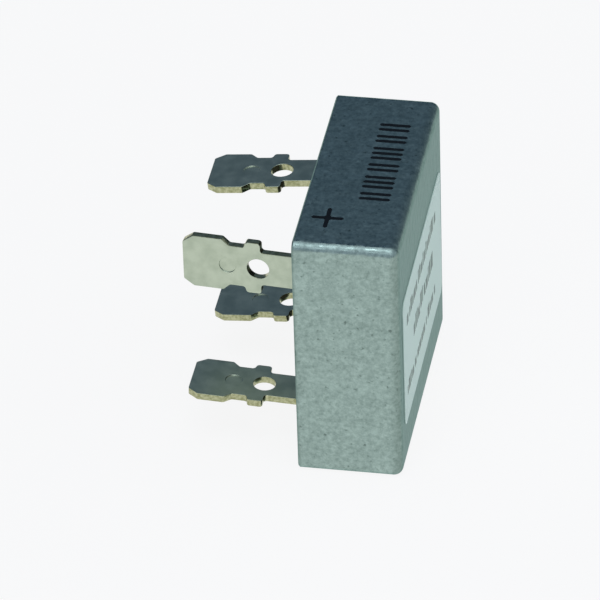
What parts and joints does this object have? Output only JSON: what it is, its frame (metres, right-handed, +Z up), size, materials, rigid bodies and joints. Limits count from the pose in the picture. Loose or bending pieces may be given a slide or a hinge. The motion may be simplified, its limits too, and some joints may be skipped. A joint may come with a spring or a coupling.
{
  "type": "bridge rectifier",
  "caption": "Square metal-cased bridge rectifier with blade terminals, epoxy potting and a central mounting hole, standing on one side of its case.",
  "frame": {"origin": "centre of the mounting hole on the base's outer face", "axes": "+X out of the base towards the heatsink, terminals along -X, +Z up as it stands on one side of its case"},
  "size_m": [0.0238, 0.0288, 0.0288],
  "materials": {
    "cast_aluminium": "blasted casting",
    "tinned_brass": "tin plated",
    "epoxy": "poured, satin",
    "copper": "bare",
    "alumina": "matt",
    "silicon": "polished"
  },
  "bodies": {
    "root": {"case": "cast_aluminium", "terminal_plus": "tinned_brass", "terminal_ac_1": "tinned_brass", "terminal_minus": "tinned_brass", "terminal_ac_2": "tinned_brass", "potting": "epoxy", "insulator": "alumina", "ac_plate_1": "copper", "ac_plate_2": "copper", "plus_strap": "copper", "minus_strap": "copper", "die_ac_1_plus": "silicon", "die_ac_1_minus": "silicon", "die_ac_2_plus": "silicon", "die_ac_2_minus": "silicon"}
  },
  "joints": []
}
